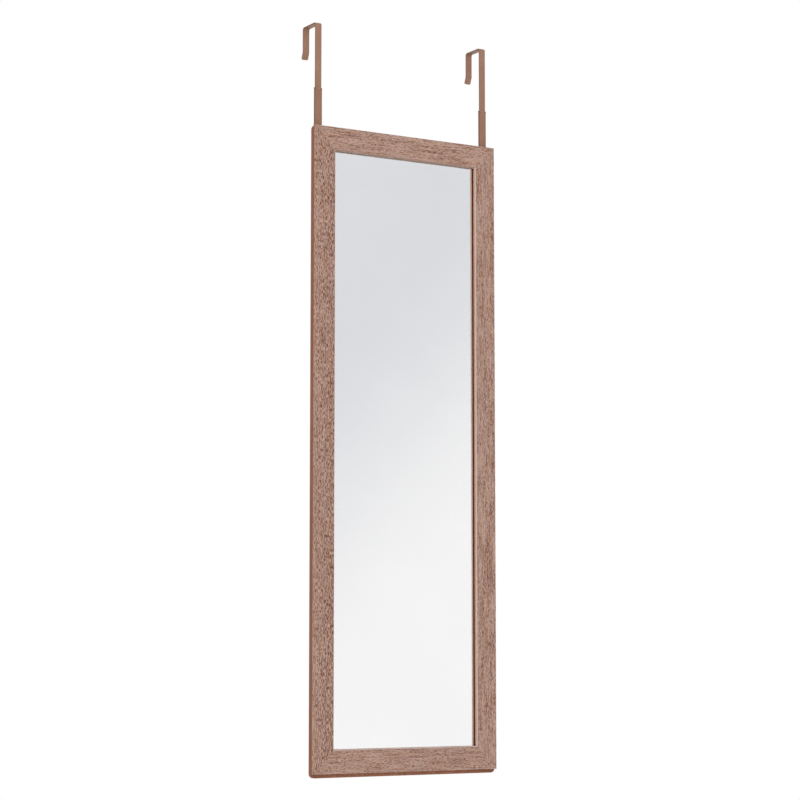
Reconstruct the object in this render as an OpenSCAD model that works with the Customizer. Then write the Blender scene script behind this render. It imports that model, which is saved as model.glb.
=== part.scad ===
// Over the door mirror: a framed glass mirror that hangs from two adjustable steel hooks.
// X runs across the door, Y through it (the mirror looks towards -Y) and Z up.
// Origin: the middle of the mirror's width, on the door's front face, level with the door's top edge.

/* [Frame] */
// Width over the front mouldings
frame_w = 406; // [380:1:600]
// Height over the front mouldings
frame_h = 1219; // [1000:1:1600]
// Width of a front moulding
moulding_w = 45; // [44:1:60]
// Thickness of a front moulding
moulding_t = 7.5; // [7:0.5:14]
// Radius along a moulding's outer front edge
moulding_round = 1.2; // [0.5:0.1:2.5]
// Width of the bevel round the sight opening
sight_bevel = 1.6; // [0.5:0.1:3]
// Thickness of the base rails behind the mouldings
rail_t = 9; // [9:0.5:12]
// How far the base stands above the mouldings
base_rise = 1.5; // [0:0.5:4]
// How far the base stands below the mouldings
base_drop = 7; // [0:0.5:10]
// Radius of the base's four outer corners
base_corner_r = 8.5; // [4:0.5:12]

/* [Mirror and backing] */
// Thickness of the glass
glass_t = 4; // [3:1:4]
// Thickness of the silvering and its safety film
silver_t = 0.1; // [0.1:0.1:0.3]
// Thickness of the card behind the glass
card_t = 1; // [0.8:0.1:1.4]
// Thickness of the backing board
board_t = 2.5; // [2:0.5:3]
// How far the glass laps behind the mouldings
glass_lap = 5.7; // [4:0.1:8]
// Gap between the glass and the base rails
glass_gap = 0.5; // [0.3:0.1:1]

/* [Hooks] */
// Height of the door's top edge above the mouldings
hang_height = 202; // [170:1:230]
// Distance of each hook's middle from the mirror's middle
hook_x = 187; // [150:1:187]
// Width of the hook strap
strap_w = 13.5; // [12:0.5:16]
// Thickness of the hook strap
strap_t = 2; // [1.5:0.1:2.5]
// Distance from the door's front face to the hook's rear leg
door_room = 45; // [35:1:60]
// Inner radius of the two upper bends
bend_r = 3; // [1:0.5:5]
// Length of the rear leg below the door's top edge
rear_leg = 60; // [40:1:80]
// Length of the straight flared tip
tip_len = 13; // [6:1:20]
// Angle of the flared tip
tip_angle = 22; // [10:1:35]
// How far the strap reaches down behind the mouldings
strap_reach = 88; // [84:1:95]
// How far a hook can be pushed down from its middle setting
travel_down = 50; // [20:1:50]
// How far a hook can be pulled up from its middle setting
travel_up = 45; // [20:1:45]

/* [Guide channels] */
// Thickness of the channel's sheet
channel_wall = 1.2; // [1:0.1:1.5]
// Side clearance of the strap in its channel
strap_play = 0.2; // [0.1:0.05:0.4]
// How far a channel stands above the mouldings
channel_rise = 76; // [40:1:100]
// Width of the open slit down the channel's back
slit_w = 8; // [7.6:0.1:10]
// Height of the folded rim at the channel's mouth
rim_h = 2.5; // [1:0.5:5]
// How far the folded rim stands proud
rim_proud = 0.4; // [0.2:0.1:0.8]

/* [Fasteners and pads] */
// Diameter of the clamp screw's thread
clamp_d = 4; // [3:0.5:4]
// Diameter of the clamp screw's low head
clamp_head_d = 7; // [6:0.5:7.2]
// Diameter of the wood screws that hold a channel
wood_screw_d = 3; // [2.5:0.5:3.5]
// Diameter of the brads between base and mouldings
brad_d = 1.4; // [1:0.1:1.8]
// Diameter of the two door bumpers
bumper_d = 22; // [14:1:30]

/* [Hidden] */
$fn = 64;

wood_colour = [0.65, 0.53, 0.48];
base_colour = [0.53, 0.36, 0.28];
steel_colour = [0.62, 0.49, 0.42];
zinc_colour = [0.75, 0.76, 0.78];

// Small overlap that lets a cutter pass cleanly through a face
cut = 1;

// Depths through the frame, counted from the door's front face at y = 0
strap_gap = 0.05;
cavity_d = strap_t + 0.3;
channel_d = 2 * channel_wall + cavity_d;
back_y = -channel_d;
rail_y = back_y - rail_t;
web_y = back_y + channel_wall;
strap_y = web_y + strap_gap;
glass_y = rail_y + glass_t;
silver_y = glass_y + silver_t;
card_y = silver_y + card_t;
board_y = card_y + board_t;

// Heights, counted from the door's top edge at z = 0
top_z = -hang_height;
bottom_z = top_z - frame_h;
mid_z = (top_z + bottom_z) / 2;
base_top = top_z + base_rise;
base_bottom = bottom_z - base_drop;

// Sight opening in the mouldings, and the wider rebate between the base rails
half_w = frame_w / 2;
sight_x = half_w - moulding_w;
rebate = glass_lap + glass_gap;
rebate_x = sight_x + rebate;
rebate_top = top_z - moulding_w + rebate;
rebate_bottom = bottom_z + moulding_w - rebate;

// Channel and strap
cavity_w = strap_w + 2 * strap_play;
channel_w = cavity_w + 2 * channel_wall;
channel_top = top_z + channel_rise;
strap_end = top_z - strap_reach;
channel_end = strap_end - travel_down - 5;
channel_round = 1.6;
tongue_len = 30;
tongue_hole_gap = 7;
tongue_holes = [channel_end - tongue_hole_gap, channel_end - 3 * tongue_hole_gap];
ear_z = top_z - 63;
ear_h = 16;
ear_reach = 16;
ear_hole_x = hook_x - channel_w / 2 - ear_reach / 2;

// Clamp screw, and the slot in the strap that stops the hook at both ends of its travel
clamp_z = top_z - 28;
clamp_r = clamp_d / 2;
slot_r = clamp_r + 0.2;
stop_gap = 0.3;
slot_top = clamp_z + travel_down + stop_gap;
slot_bottom = clamp_z - travel_up - stop_gap;
clamp_head_t = 1.2;
head_y = strap_y + strap_t + strap_gap;
nut_t = 3.2;
nut_across = 7;
nut_r = nut_across / 2 / cos(30);
clamp_len = head_y - back_y + nut_t - 0.2;

// Flared tip: it turns round tip_centre from straight down to tip_angle away from the door
tip_in = 6;
tip_out = tip_in + strap_t;
tip_steps = 6;
tip_z = -rear_leg + tip_len * cos(tip_angle) + tip_out * sin(tip_angle);
tip_centre = [door_room + tip_out, tip_z];
tip_side = [-cos(tip_angle), -sin(tip_angle)];
tip_way = [sin(tip_angle), -cos(tip_angle)];

function reversed(list) = [for (i = [len(list) - 1 : -1 : 0]) list[i]];

// Points of the tip's bend, from the upright leg to the flared end
function arc_points(centre, r, steps) =
    [for (i = [0 : steps]) let (a = 180 + tip_angle * i / steps) centre + r * [cos(a), sin(a)]];

// Wood screws
screw_len = 8;
screw_head_d = 5.5;
screw_head_t = 1.6;
screw_points = concat([for (z = tongue_holes) [hook_x, z]], [[ear_hole_x, ear_z]]);

// Brads through the base rails into the mouldings: [x, z], mirrored left and right
brad_len = 13;
brad_inset = 30;
brad_rows = 4;
brad_pitch = frame_h / (brad_rows + 1);
side_brads = [for (i = [1 : brad_rows]) [half_w - brad_inset, top_z - i * brad_pitch]];
end_brads = [for (z = [top_z - 25, bottom_z + 25], x = [40, 120]) [x, z]];

// V-shaped nails across each mitre, at these distances in from the outer corner
v_nail_places = [14, 28];
v_nail_len = 5;
v_nail_t = 0.5;
v_nail_depth = 5.5;

// Flat steel points that hold the backing board
point_w = 8;
point_t = 0.5;
point_over = 8;
point_in = 6;
point_shoulder = 2;
point_rows = 4;
point_pitch = (rebate_top - rebate_bottom) / point_rows;
point_heights = [for (i = [0 : point_rows - 1]) rebate_top - (i + 0.5) * point_pitch];
point_x = rebate_x / 2;

bumper_x = half_w - 22;
bumper_z = base_bottom + 23;
bumper_chamfer = 0.8;

// Everything on the right is drawn once, and the left is its mirror image
module on_side(right) {
    mirror([right ? 0 : 1, 0, 0]) children();
}

module block(low, high) {
    translate(low) cube(high - low);
}

// A rod or hole that starts at y and runs towards the mirror's front
module rod(x, y, z, r, len) {
    translate([x, y, z]) rotate([90, 0, 0]) cylinder(r = r, h = len);
}

// An outline in x and z, made thick from y towards the mirror's front
module plate(y, t) {
    translate([0, y, 0]) rotate([90, 0, 0]) linear_extrude(t) children();
}

// A bar's section with four rounded corners, centred
module rounded_bar(w, d, r) {
    square([w - 2 * r, d], center = true);
    square([w, d - 2 * r], center = true);
    for (x = [-1, 1], y = [-1, 1])
        translate([x * (w / 2 - r), y * (d / 2 - r)]) circle(r = r);
}

// The upper left (side = -1) or upper right (side = 1) quarter of a ring
module quarter_ring(inner, outer, side) {
    intersection() {
        difference() {
            circle(r = outer);
            circle(r = inner);
        }
        translate([side < 0 ? -outer : 0, 0]) square(outer);
    }
}

// A moulding's section: x from its outer edge inwards, y from its back to its face
module moulding_section() {
    difference() {
        union() {
            square([moulding_w, moulding_t - moulding_round]);
            translate([moulding_round, 0]) square([moulding_w - moulding_round, moulding_t]);
            translate([moulding_round, moulding_t - moulding_round]) circle(r = moulding_round);
        }
        polygon([[moulding_w - sight_bevel, moulding_t],
                 [moulding_w + cut, moulding_t + cut],
                 [moulding_w + cut, moulding_t - sight_bevel - cut],
                 [moulding_w, moulding_t - sight_bevel]]);
    }
}

// One moulding, mitred at both ends. reach is from the frame's middle to its outer edge.
module moulding(turn, reach, len) {
    color(wood_colour)
    difference() {
        translate([0, 0, mid_z]) rotate([0, turn, 0]) intersection() {
            translate([-reach, rail_y, -len / 2])
                mirror([0, 1, 0]) linear_extrude(len) moulding_section();
            plate(rail_y, moulding_t)
                polygon([[-reach, -len / 2],
                         [-reach, len / 2],
                         [-reach + moulding_w, len / 2 - moulding_w],
                         [-reach + moulding_w, -len / 2 + moulding_w]]);
        }
        v_nail_bodies();
        brad_bodies();
    }
}

module moulding_top() { moulding(90, frame_h / 2, frame_w); }
module moulding_bottom() { moulding(270, frame_h / 2, frame_w); }
module moulding_left() { moulding(0, half_w, frame_h); }
module moulding_right() { moulding(180, half_w, frame_h); }

// The base's outer outline: a tall board with round corners
module base_outline() {
    translate([0, (base_top + base_bottom) / 2])
        rounded_bar(frame_w, base_top - base_bottom, base_corner_r);
}

module base_rail(low, high) {
    color(base_colour)
    difference() {
        plate(back_y, rail_t) intersection() {
            base_outline();
            translate(low) square(high - low);
        }
        brad_bodies();
        point_bodies();
        for (right = [false, true]) on_side(right) {
            rod(hook_x, back_y, clamp_z, clamp_r, clamp_len);
            for (p = screw_points) rod(p[0], back_y, p[1], wood_screw_d / 2, rail_t + cut);
            translate([0, cut, 0]) nut_body();
            nut_body();
        }
    }
}

module base_rail_top() { base_rail([-rebate_x, rebate_top], [rebate_x, base_top]); }
module base_rail_bottom() { base_rail([-rebate_x, base_bottom], [rebate_x, rebate_bottom]); }
module base_rail_left() { base_rail([-half_w, base_bottom], [-rebate_x, base_top]); }
module base_rail_right() { base_rail([rebate_x, base_bottom], [half_w, base_top]); }

// One of the sheets stacked in the rebate, from y towards the front
module sheet(y, t) {
    x = rebate_x - glass_gap;
    plate(y, t)
        translate([-x, rebate_bottom + glass_gap])
            square([2 * x, rebate_top - rebate_bottom - 2 * glass_gap]);
}

module mirror_glass() { color([0.86, 0.87, 0.89]) sheet(glass_y, glass_t); }
module silver_backing() { color([0.8, 0.82, 0.85]) sheet(silver_y, silver_t); }
module card_sheet() { color([0.7, 0.62, 0.5]) sheet(card_y, card_t); }
module backing_board() { color([0.55, 0.42, 0.3]) sheet(board_y, board_t); }

// A steel point, lying on the board with its tip driven into the rail on its right
module point_outline() {
    polygon([[-point_over, -point_w / 2],
             [point_shoulder, -point_w / 2],
             [point_in, 0],
             [point_shoulder, point_w / 2],
             [-point_over, point_w / 2]]);
}

module point_bodies() {
    plate(board_y + point_t, point_t) {
        for (z = point_heights) {
            translate([rebate_x, z]) point_outline();
            translate([-rebate_x, z]) rotate(180) point_outline();
        }
        for (x = [-point_x, point_x]) {
            translate([x, rebate_top]) rotate(90) point_outline();
            translate([x, rebate_bottom]) rotate(-90) point_outline();
        }
    }
}

module retaining_points() { color(zinc_colour) point_bodies(); }

// A V-nail's two wings, one in each moulding of the corner at x, z = right, up
module v_nail(right, up, place) {
    far = place + v_nail_len;
    near = place + v_nail_t;
    points = [[place, place], [far, place], [far, near], [near, near], [near, far], [place, far]];
    plate(rail_y, v_nail_depth)
        polygon([for (p = points) [right * (half_w - p[0]), mid_z + up * (frame_h / 2 - p[1])]]);
}

module v_nail_bodies() {
    for (right = [-1, 1], up = [-1, 1], place = v_nail_places) v_nail(right, up, place);
}

module v_nails() { color(zinc_colour) v_nail_bodies(); }

module brad_bodies() {
    for (right = [false, true], p = concat(side_brads, end_brads))
        on_side(right) rod(p[0], back_y, p[1], brad_d / 2, brad_len);
}

module frame_brads() { color(zinc_colour) brad_bodies(); }

// The channel's section: an open C whose slit faces the door
module channel_section() {
    difference() {
        translate([0, back_y / 2]) rounded_bar(channel_w, channel_d, channel_round);
        translate([-cavity_w / 2, web_y]) square([cavity_w, cavity_d]);
        translate([-slit_w / 2, web_y]) square([slit_w, channel_d]);
    }
}

// The folded rim at the mouth, proud of the front and both sides
module rim_section() {
    difference() {
        translate([0, (back_y - rim_proud) / 2])
            rounded_bar(channel_w + 2 * rim_proud, channel_d + rim_proud, channel_round);
        translate([-cavity_w / 2, web_y]) square([cavity_w, cavity_d]);
        translate([-slit_w / 2, web_y]) square([slit_w, channel_d]);
    }
}

// Tongue below the channel and ear beside it, both flat on the frame's back
module channel_feet() {
    plate(web_y, channel_wall) {
        translate([hook_x, channel_end - tongue_len / 2])
            rounded_bar(channel_w, tongue_len, 5);
        translate([hook_x - channel_w / 2, channel_end - 5]) square([channel_w, 8]);
        translate([hook_x - channel_w / 2 - ear_reach / 2 + 2, ear_z])
            rounded_bar(ear_reach + 4, ear_h, 4);
    }
}

module channel(right) {
    color(steel_colour)
    on_side(right) difference() {
        union() {
            translate([hook_x, 0, channel_end])
                linear_extrude(channel_top - channel_end) channel_section();
            translate([hook_x, 0, channel_top - rim_h]) linear_extrude(rim_h) rim_section();
            difference() {
                channel_feet();
                block([hook_x - cavity_w / 2, web_y, channel_end], [hook_x + cavity_w / 2, 0, channel_top]);
            }
        }
        rod(hook_x, 0, clamp_z, clamp_r, channel_d + cut);
        for (p = screw_points) rod(p[0], 0, p[1], wood_screw_d / 2, channel_d + cut);
    }
}

module channel_left() { channel(false); }
module channel_right() { channel(true); }

// Pan-head wood screws through the tongue and the ear into the side rail
module channel_screws(right) {
    color(zinc_colour)
    on_side(right) for (p = screw_points) {
        rod(p[0], web_y, p[1], wood_screw_d / 2, screw_len);
        translate([p[0], web_y, p[1]]) rotate([-90, 0, 0]) rotate_extrude() screw_head_half();
    }
}

// Half of a low domed head, turned round its axis
module screw_head_half() {
    dome_r = (pow(screw_head_d / 2, 2) + pow(screw_head_t, 2)) / (2 * screw_head_t);
    intersection() {
        square([screw_head_d / 2, screw_head_t]);
        translate([0, screw_head_t - dome_r]) circle(r = dome_r);
    }
}

module channel_screws_left() { channel_screws(false); }
module channel_screws_right() { channel_screws(true); }

// Hexagon nut, let into the side rail behind the channel
module nut_body() {
    translate([hook_x, back_y, clamp_z]) rotate([90, 0, 0]) cylinder(r = nut_r, h = nut_t, $fn = 6);
}

module clamp_nut(right) {
    color(zinc_colour)
    on_side(right) difference() {
        nut_body();
        rod(hook_x, back_y + cut, clamp_z, clamp_r, nut_t + 2 * cut);
    }
}

module clamp_nut_left() { clamp_nut(false); }
module clamp_nut_right() { clamp_nut(true); }

// Low-head screw through the strap's slot and the channel's web into the nut
module clamp_screw(right) {
    color(zinc_colour)
    on_side(right) difference() {
        union() {
            rod(hook_x, head_y, clamp_z, clamp_r, clamp_len);
            rod(hook_x, head_y + clamp_head_t, clamp_z, clamp_head_d / 2, clamp_head_t);
        }
        // Hexagon socket for the key
        translate([hook_x, head_y + clamp_head_t + cut, clamp_z])
            rotate([90, 0, 0]) cylinder(r = 1.4, h = cut + 0.8, $fn = 6);
    }
}

module clamp_screw_left() { clamp_screw(false); }
module clamp_screw_right() { clamp_screw(true); }

// Bumper that keeps the frame's lower end parallel to the door
module bumper(right) {
    r = bumper_d / 2;
    color([0.25, 0.22, 0.2])
    on_side(right) translate([bumper_x, back_y, bumper_z]) rotate([-90, 0, 0]) rotate_extrude()
        polygon([[0, 0], [r, 0], [r, channel_d - bumper_chamfer],
                 [r - bumper_chamfer, channel_d], [0, channel_d]]);
}

module bumper_left() { bumper(false); }
module bumper_right() { bumper(true); }

// Side view of the bent strap, x through the door and y up
module strap_profile() {
    strap_back = strap_y + strap_t;
    outer_r = bend_r + strap_t;
    // Front leg
    translate([strap_y, strap_end]) square([strap_t, -bend_r - strap_end]);
    // Front bend, bridge over the door and rear bend
    translate([strap_back + bend_r, -bend_r]) quarter_ring(bend_r, outer_r, -1);
    translate([strap_back + bend_r, 0]) square([door_room - strap_back - 2 * bend_r, strap_t]);
    translate([door_room - bend_r, -bend_r]) quarter_ring(bend_r, outer_r, 1);
    // Rear leg and its flared tip
    translate([door_room, tip_z]) square([strap_t, -bend_r - tip_z]);
    polygon(concat([[door_room, tip_z + cut]],
                   arc_points(tip_centre, tip_out, tip_steps),
                   [for (r = [tip_out, tip_in]) tip_centre + r * tip_side + tip_len * tip_way],
                   reversed(arc_points(tip_centre, tip_in, tip_steps)),
                   [[door_room + strap_t, tip_z + cut]]));
}

// Waste outside the two round corners at a strap's end
module strap_end_waste(z, low_y, high_y) {
    r = 2.5;
    plate(high_y, high_y - low_y) difference() {
        translate([-strap_w / 2 - cut, z - cut]) square([strap_w + 2 * cut, r + cut]);
        translate([-strap_w / 2 + r, z]) square([strap_w - 2 * r, r]);
        for (x = [-1, 1]) translate([x * (strap_w / 2 - r), z + r]) circle(r = r);
    }
}

// Flat steel strap, bent over the door, with the long slot for the clamp screw
module hook(right) {
    color(steel_colour)
    on_side(right) translate([hook_x, 0, 0]) difference() {
        translate([-strap_w / 2, 0, 0]) rotate([90, 0, 90]) linear_extrude(strap_w) strap_profile();
        strap_end_waste(strap_end, strap_y - cut, strap_y + strap_t + cut);
        strap_end_waste(-rear_leg, door_room, door_room + 20);
        for (z = [slot_top, slot_bottom]) rod(0, 0, z, slot_r, channel_d);
        block([-slot_r, back_y, slot_bottom], [slot_r, 0, slot_top]);
    }
}

module hook_left() { hook(false); }
module hook_right() { hook(true); }

moulding_top();
moulding_bottom();
moulding_left();
moulding_right();
base_rail_top();
base_rail_bottom();
base_rail_left();
base_rail_right();
mirror_glass();
silver_backing();
card_sheet();
backing_board();
retaining_points();
v_nails();
frame_brads();
channel_left();
channel_right();
channel_screws_left();
channel_screws_right();
clamp_nut_left();
clamp_nut_right();
clamp_screw_left();
clamp_screw_right();
bumper_left();
bumper_right();
hook_left();
hook_right();
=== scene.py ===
# %% [markdown]
# # An over the door mirror
# A framed mirror that hangs on a door from two bent steel hooks. The construction is already
# fixed: every part has its real size and place, in metres, with X across the door, Y through it
# and Z up. This notebook gives the parts their looks. Most are modelled again with softened
# edges, the mouldings with an embossed grain as well, and a few hidden ones keep their shape
# and only get a finish.

# %% Load the construction
import math

import bmesh
import bpy
import numpy as np
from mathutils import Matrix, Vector, noise


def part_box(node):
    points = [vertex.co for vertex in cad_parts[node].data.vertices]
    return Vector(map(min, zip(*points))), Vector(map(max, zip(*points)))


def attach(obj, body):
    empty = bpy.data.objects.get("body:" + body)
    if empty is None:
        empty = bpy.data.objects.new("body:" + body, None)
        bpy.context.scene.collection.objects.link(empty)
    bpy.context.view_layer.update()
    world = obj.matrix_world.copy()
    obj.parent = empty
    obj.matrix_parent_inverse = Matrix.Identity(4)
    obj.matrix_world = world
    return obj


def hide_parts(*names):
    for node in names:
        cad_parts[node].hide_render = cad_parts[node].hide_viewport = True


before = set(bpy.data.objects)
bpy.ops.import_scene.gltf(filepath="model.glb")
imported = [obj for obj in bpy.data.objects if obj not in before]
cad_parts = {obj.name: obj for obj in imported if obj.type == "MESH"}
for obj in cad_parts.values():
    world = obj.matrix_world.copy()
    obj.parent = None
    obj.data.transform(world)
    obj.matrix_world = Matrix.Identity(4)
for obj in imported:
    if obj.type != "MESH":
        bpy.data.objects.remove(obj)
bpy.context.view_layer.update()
MM = 0.001

# %% [markdown]
# ## The camera
# The photograph was taken from the left, a little below the middle of the mirror and with a long
# lens, which keeps the tall frame's sides nearly parallel. A camera can be placed by eye, but
# then little lines up. Here its place, turn and focal length were worked out from the four
# corners of the frame, so the picture can be laid over the photograph.

# %% Camera
camera_place = (-2.2837, -3.7623, -1.1865)
camera_rise = math.radians(6.122)
camera_turn = math.radians(31.229)
camera_lens, sensor_w = 103.51, 36
bpy.ops.object.select_all(action="DESELECT")
bpy.ops.object.camera_add(
    location=camera_place, rotation=(math.pi / 2 + camera_rise, 0, -camera_turn)
)
camera = bpy.context.active_object
camera.data.sensor_width = sensor_w
camera.data.lens = camera_lens
bpy.context.scene.camera = camera
print("camera at", camera_place, "with a lens of", camera_lens, "mm")

# %% [markdown]
# ## Helpers for modelling by operator
# A shape could be written down as a list of points. Operators are closer to what a modeller's
# hands do, and a few of them say a whole shape. They act on whatever is selected, and the
# loaded parts arrive selected, so every start clears the selection. A primitive is added at its
# size and place, and both go into its mesh at once, which keeps the object at the origin.

# %% Start a piece
def only(piece):
    """Select one object alone and make it active."""
    bpy.ops.object.select_all(action="DESELECT")
    piece.select_set(True)
    bpy.context.view_layer.objects.active = piece


def settle(name):
    """Name the active object and move its size and place into its mesh."""
    piece = bpy.context.active_object
    piece.name = name
    piece.data.name = name
    bpy.ops.object.transform_apply(location=True, rotation=True, scale=True)
    return piece


def start_block(name, low, high):
    """A cube stretched between two corners."""
    low, high = Vector(low), Vector(high)
    bpy.ops.object.select_all(action="DESELECT")
    bpy.ops.mesh.primitive_cube_add(size=1, location=(low + high) / 2, scale=high - low)
    return settle(name)


# %% [markdown]
# In Edit Mode a face or an edge could be chosen by its number, but the numbers change with every
# cut. Its place and the way it runs don't, and they are what a modeller looks at before a click.
# So each test below reads one edge or face of the mesh that is being edited.

# %% Pick faces, edges and corners by place
X, Y, Z = 0, 1, 2


def edit(piece):
    """Open one piece in Edit Mode."""
    only(piece)
    bpy.ops.object.mode_set(mode="EDIT")


def leave_edit():
    """Go back to Object Mode."""
    bpy.ops.object.mode_set(mode="OBJECT")


def pick(piece, kind, wanted):
    """Select the parts of one kind, FACE, EDGE or VERT, that pass a test."""
    bpy.ops.mesh.select_mode(type=kind)
    bpy.ops.mesh.select_all(action="DESELECT")
    mesh = bmesh.from_edit_mesh(piece.data)
    parts = {"FACE": mesh.faces, "EDGE": mesh.edges, "VERT": mesh.verts}[kind]
    for part in parts:
        if wanted(part):
            part.select_set(True)
    mesh.select_flush_mode()
    bmesh.update_edit_mesh(piece.data)


def near(a, b, slack=0.02 * MM):
    """True if two lengths are the same within a fiftieth of a millimetre."""
    return abs(a - b) < slack


def middle(part):
    """Middle of an edge or a face."""
    corners = [v.co for v in part.verts]
    return sum(corners, Vector()) / len(corners)


def runs(edge, axis):
    """True if an edge runs along X, Y or Z."""
    way = edge.verts[1].co - edge.verts[0].co
    return abs(way[axis]) > 0.999 * way.length


# %% [markdown]
# Modifiers finish a piece. They could stay live, but a pattern on the surface would then lie on
# the wrong shape, so they are applied straight away. Last, every piece gets its finish and is hung
# on the body of the construction that it moves with, and the plain part that it stands for is
# hidden.

# %% Apply modifiers and hand a piece over
def modify(piece, kind, **settings):
    """Add a modifier, set it and apply it."""
    only(piece)
    modifier = piece.modifiers.new(kind.lower(), kind)
    for key, value in settings.items():
        setattr(modifier, key, value)
    bpy.ops.object.modifier_apply(modifier=modifier.name)


def tidy_mesh(piece, smooth_under=35):
    """Merge doubles, turn all faces outwards and shade smooth over gentle edges."""
    edit(piece)
    bpy.ops.mesh.select_all(action="SELECT")
    bpy.ops.mesh.remove_doubles(threshold=0.002 * MM)
    bpy.ops.mesh.normals_make_consistent(inside=False)
    leave_edit()
    bpy.ops.object.shade_smooth_by_angle(angle=math.radians(smooth_under))


def hand_over(piece, finish, slot, body, *nodes):
    """Give a finished piece its material, hang it on its body and hide its plain parts.
    The slot is not used.
    """
    piece.data.materials.clear()
    piece.data.materials.append(finish)
    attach(piece, body)
    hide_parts(*nodes)
    print(f"{piece.name}: {len(piece.data.polygons)} faces, rides on {body}")


# %% [markdown]
# ## Helpers for finishes
# A finish could come from a photograph of the surface, but that blurs when the camera comes
# close. A small network of nodes stays sharp from any distance, and these helpers shorten the
# making of a node and of a link. Colours are written as they look on a screen, from 0 to 255,
# and turned into the linear values that the renderer works with.

# %% Colours and shaders
def colour(red, green, blue, share=1):
    """Screen colour, 0 to 255, as linear light. share makes it brighter or darker."""
    channels = []
    for value in (red, green, blue):
        value = value / 255
        linear = value / 12.92 if value <= 0.04045 else ((value + 0.055) / 1.055) ** 2.4
        channels.append(linear * share)
    return (*channels, 1)


def feed(tree, socket, value):
    """Link another node's output to a socket, or set a plain number or colour on it."""
    if isinstance(value, bpy.types.NodeSocket):
        tree.links.new(value, socket)
    else:
        socket.default_value = value


def dress(tree, shader, **values):
    """Link or set the shader's inputs by their names, with _ for a space."""
    for key, value in values.items():
        feed(tree, shader.inputs[key.replace("_", " ")], value)


def new_finish(name, **plain_values):
    """A new material, its node tree and its Principled shader with these plain values."""
    finish = bpy.data.materials.new(name)
    finish.use_nodes = True
    shader = finish.node_tree.nodes["Principled BSDF"]
    dress(finish.node_tree, shader, **plain_values)
    print("finish:", name)
    return finish, finish.node_tree, shader


middle_grey = colour(128, 128, 128)
print("a grey of 128 on the screen is", round(middle_grey[0], 3), "in linear light")


# %% Nodes for patterns
def add(tree, kind, inputs=(), **settings):
    """Add a node, set its properties, and feed the inputs that are given by name."""
    made = tree.nodes.new("ShaderNode" + kind)
    for key, value in settings.items():
        setattr(made, key, value)
    for name, value in dict(inputs).items():
        feed(tree, made.inputs[name], value)
    return made


def spread(tree, value, from_low, from_high, to_low=0.0, to_high=1.0):
    """Map a value from one range to another, clamped."""
    mapped = add(tree, "MapRange", {"Value": value, "From Min": from_low, "From Max": from_high,
                                    "To Min": to_low, "To Max": to_high})
    return mapped.outputs["Result"]


def speckle(tree, place, stretch=(1, 1, 1), scale=1.0, detail=2.0, low=0.0, high=1.0):
    """Noise on a stretched place, mapped from its usual spread to the range low to high."""
    mapping = add(tree, "Mapping", {"Vector": place, "Scale": stretch})
    texture = add(tree, "TexNoise",
                  {"Vector": mapping.outputs["Vector"], "Scale": scale, "Detail": detail})
    return spread(tree, texture.outputs["Fac"], 0.3, 0.7, low, high)


def blend_colours(tree, share, first, second, mode="MIX"):
    """Mix two colours by a share that changes over the surface."""
    mix = add(tree, "Mix", data_type="RGBA", blend_type=mode)
    sockets = (mix.inputs[0], mix.inputs[6], mix.inputs[7])
    for socket, value in zip(sockets, (share, first, second)):
        feed(tree, socket, value)
    return mix.outputs[2]


def calculate(tree, operation, first, second):
    """Add or multiply two values, each a number or another node's output."""
    result = add(tree, "Math", {0: first, 1: second}, operation=operation)
    return result.outputs["Value"]


def bump(tree, shader, height, depth, strength=1.0):
    """Fine relief from a height between 0 and 1, depth in metres."""
    relief = add(tree, "Bump", {"Height": height, "Strength": strength, "Distance": depth})
    tree.links.new(relief.outputs["Normal"], shader.inputs["Normal"])


# %% [markdown]
# ## The wood-look wrap
# The front mouldings are fibreboard wrapped in a printed foil with an embossed grain: short wavy
# dashes, each pressed in a few tenths of a millimetre. A bump map alone would look flat from
# the side, so the dashes are real dents in the mesh, and the colour follows them. The dents are
# darker, partly from the printed grain and partly from painted shade. Each corner point of the
# mesh stores how deep it lies, in an attribute named hollow, and the material reads it. The wrap
# also has its own flat coordinates, across and along the moulding in metres, so the print runs
# round the edges and turns at every mitre.
#
# The foil ends a few millimetres down the outer side, where the brown paint of the base takes
# over. On the sides the sight edge is pale. This is partly foil pulled thin and partly a painted
# highlight where the walls face the light. The wall by the glass is painted darker as shade. The
# seam round the mirror is dark because little light reaches under the moulding, and the back's
# red-brown tone is set to colour that shade. The top rail's bevel faces down into its own shade
# and keeps the face's tone. Its wall by the glass and its back are painted pale, as painted light
# that keeps its seam from showing.

# %% Sizes of the mouldings
left_low, left_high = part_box("moulding_left")
face_y, moulding_back = left_low.y, left_high.y
moulding_w = left_high.x - left_low.x
frame_w = -2 * left_low.x
frame_top, frame_bottom = left_high.z, left_low.z
frame_h = frame_top - frame_bottom
frame_mid = (frame_top + frame_bottom) / 2
outer_round = 1.2 * MM
sight_bevel = 1.6 * MM
foil_turn = 3.2 * MM
paint_tone = (130, 80, 55)
print("mouldings:", round(moulding_w / MM, 1), "mm wide on", round(frame_h / MM), "mm")


# %% Finish: printed and embossed foil
def grain_print_and_shade(tree, flat, depth):
    """The printed tone, pale on the surface and dark in the hollows, drifting from place to place.
    The darkness in the hollows is partly printed grain and partly painted shade.
    """
    print_and_shade_tone = add(tree, "ValToRGB", {"Fac": depth})
    stops = print_and_shade_tone.color_ramp.elements
    stops[0].position, stops[0].color = 0.05, colour(186, 160, 148)
    stops[1].position, stops[1].color = 0.97, colour(96, 58, 41)
    for position, tone in ((0.38, (165, 136, 123)), (0.68, (136, 100, 84))):
        stops.new(position).color = colour(*tone)
    # The drift goes from tan to pink-grey, in slow patches and in small flecks
    patches = calculate(tree, "ADD", speckle(tree, flat, (70, 22, 1), high=0.5),
                        speckle(tree, flat, (420, 120, 1), high=0.5))
    tint = blend_colours(tree, patches, colour(255, 241, 224), colour(247, 247, 252))
    return blend_colours(tree, 1.0, print_and_shade_tone.outputs["Color"], tint, "MULTIPLY")


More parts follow.
